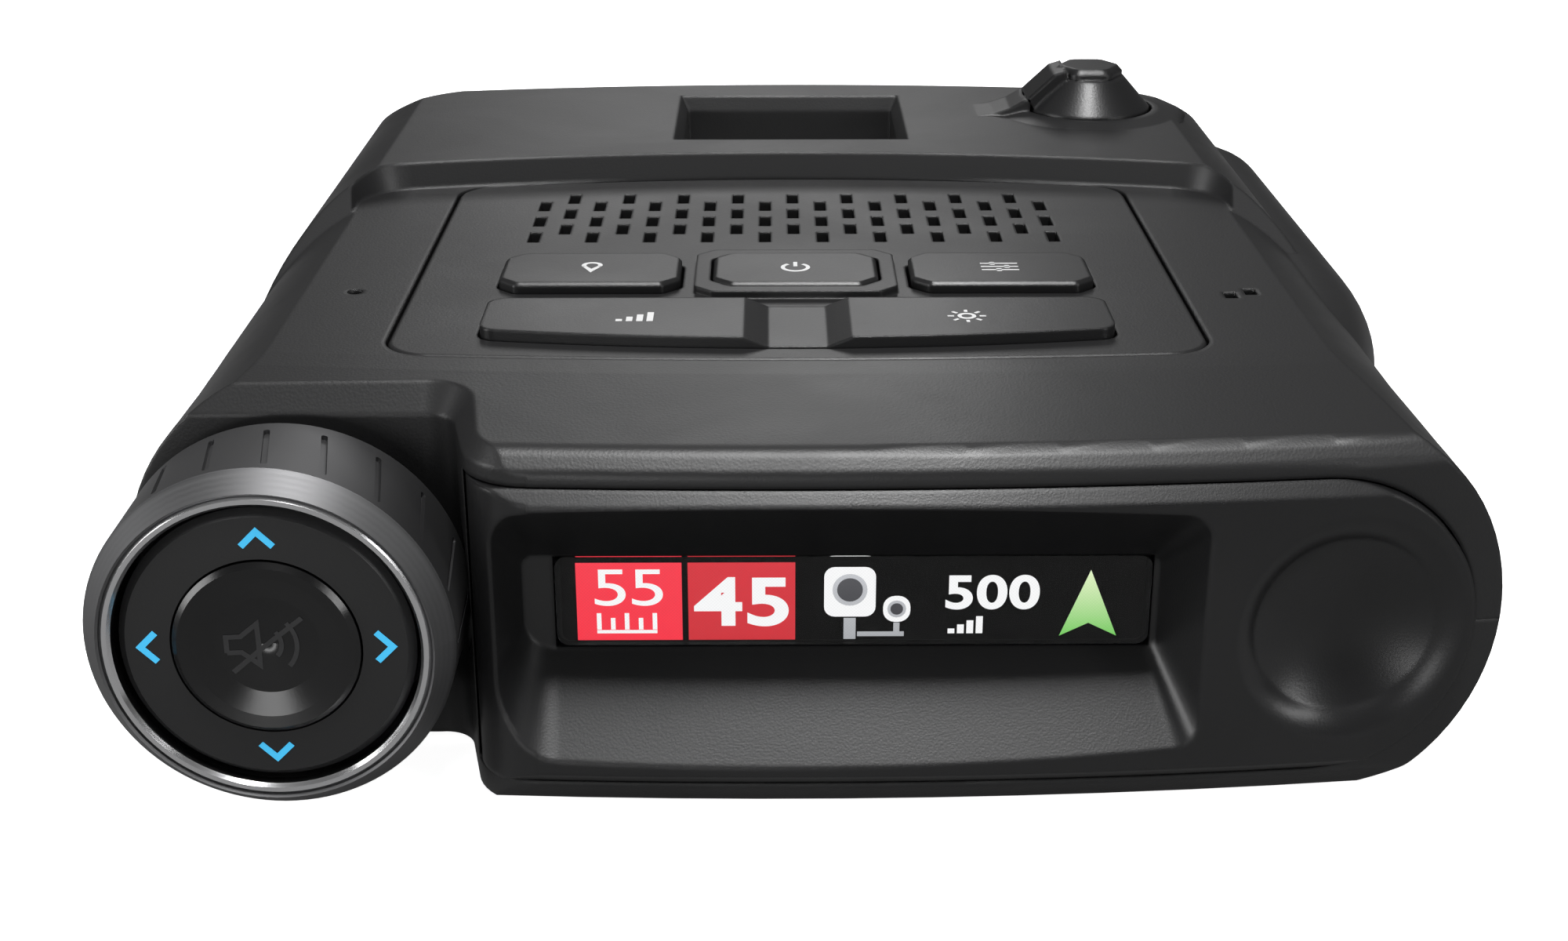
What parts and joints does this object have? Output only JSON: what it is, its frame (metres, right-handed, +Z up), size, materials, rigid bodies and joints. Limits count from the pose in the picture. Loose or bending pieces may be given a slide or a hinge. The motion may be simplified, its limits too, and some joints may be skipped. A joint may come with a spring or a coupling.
{
  "type": "radar detector",
  "caption": "Low, wide windscreen radar detector with a turning side dial, recessed display, top keypad and speaker slots, mount pocket and a small camera turret.",
  "frame": {"origin": "centre of the overall box in plan, on the flat underside", "axes": "+Z up; +Y towards the road, where the lenses face; the dial and display face -Y; +X to the right as the driver sees it"},
  "size_m": [0.091, 0.112, 0.0323],
  "materials": {
    "shell_plastic": "fine satin grain",
    "bezel_plastic": "smooth satin",
    "keypad_plastic": "fine satin grain",
    "key_plastic": "soft-touch satin",
    "window_tint": "polished dark tint",
    "display_glass": "polished",
    "steel_screws": "black zinc",
    "gasket_rubber": "matte foam",
    "board_laminate": "solder mask",
    "display_module": "glossy",
    "dial_metal": "satin gunmetal",
    "dial_chrome": "polished",
    "pad_plastic": "satin black",
    "engineering_plastic": "moulded",
    "component_black": "moulded",
    "plated_steel": "nickel plate",
    "silicone": "matte",
    "acoustic_cloth": "fine weave",
    "capacitor_sleeve": "shrink sleeve",
    "ceramic": "fired ceramic with silver patch",
    "horn_casting": "die-cast zinc, bright",
    "lens_glass": "coated",
    "camera_plastic": "matte black"
  },
  "bodies": {
    "root": {"top_shell": "shell_plastic", "bottom_shell": "shell_plastic", "rear_window": "window_tint", "case_screws": "steel_screws", "front_bezel": "bezel_plastic", "display_window": "display_glass", "display_gasket": "gasket_rubber", "display_panel": "display_module", "display_board": "board_laminate", "dial_hub": "engineering_plastic", "encoder_sensor": "component_black", "pad_board": "board_laminate", "pad_switches": "component_black", "keypad_panel": "keypad_plastic", "bar_pivot": "plated_steel", "keypad_membrane": "silicone", "key_board": "board_laminate", "key_switches": "component_black", "speaker": "component_black", "speaker_mesh": "acoustic_cloth", "microphone": "component_black", "light_sensor": "component_black", "main_board": "board_laminate", "shield_cans": "plated_steel", "board_screws": "steel_screws", "wireless_module": "component_black", "backup_capacitor": "capacitor_sleeve", "gps_antenna": "ceramic", "radar_board": "board_laminate", "radar_horn": "horn_casting", "laser_board": "board_laminate", "laser_lens": "lens_glass", "mount_plate": "plated_steel", "mount_magnets": "plated_steel", "power_socket": "engineering_plastic", "audio_jack": "engineering_plastic", "usb_port": "plated_steel", "card_slot": "engineering_plastic", "camera_cowl": "bezel_plastic", "camera_board": "board_laminate"},
    "dial": {"dial_ring": "dial_metal", "dial_trim": "dial_chrome", "encoder_wheel": "engineering_plastic"},
    "gimbal": {"gimbal_ring": "engineering_plastic"},
    "pad": {"direction_pad": "pad_plastic"},
    "mute": {"mute_button": "pad_plastic"},
    "mark": {"mark_key": "key_plastic"},
    "power": {"power_key": "key_plastic"},
    "program": {"program_key": "key_plastic"},
    "level": {"level_bar": "key_plastic"},
    "camera": {"camera_ball": "camera_plastic", "camera_lens": "lens_glass"},
    "card": {"memory_card": "component_black"}
  },
  "joints": [
    {"name": "dial_turn", "type": "hinge", "parent": "root", "child": "dial", "pos_m": [-0.0337, -0.051, 0.0122], "axis": [0, 1, 0], "continuous": true},
    {"name": "pad_yaw", "type": "hinge", "parent": "root", "child": "gimbal", "pos_m": [-0.0337, -0.051, 0.0122], "axis": [0, 0, 1], "range_deg": [-3, 3], "stiffness_Nm_per_rad": 0.2},
    {"name": "pad_pitch", "type": "hinge", "parent": "gimbal", "child": "pad", "pos_m": [-0.0337, -0.051, 0.0122], "axis": [1, 0, 0], "range_deg": [-3, 3], "stiffness_Nm_per_rad": 0.2},
    {"name": "mute_press", "type": "slide", "parent": "pad", "child": "mute", "axis": [0, 1, 0], "range_m": [0, 0.00045], "stiffness_N_per_m": 1200},
    {"name": "mark_press", "type": "slide", "parent": "root", "child": "mark", "axis": [0, 0, -1], "range_m": [0, 0.0005], "stiffness_N_per_m": 1200},
    {"name": "power_press", "type": "slide", "parent": "root", "child": "power", "axis": [0, 0, -1], "range_m": [0, 0.0005], "stiffness_N_per_m": 1200},
    {"name": "program_press", "type": "slide", "parent": "root", "child": "program", "axis": [0, 0, -1], "range_m": [0, 0.0005], "stiffness_N_per_m": 1200},
    {"name": "level_rock", "type": "hinge", "parent": "root", "child": "level", "pos_m": [0, -0.033, 0.0239], "axis": [0, 1, 0], "range_deg": [-1.5, 1.5], "stiffness_Nm_per_rad": 0.3},
    {"name": "camera_tilt", "type": "hinge", "parent": "root", "child": "camera", "pos_m": [0.028, 0.0245, 0.027], "axis": [1, 0, 0], "range_deg": [-10, 10]},
    {"name": "card_slide", "type": "slide", "parent": "root", "child": "card", "axis": [1, 0, 0], "range_m": [0, 0.014]}
  ]
}
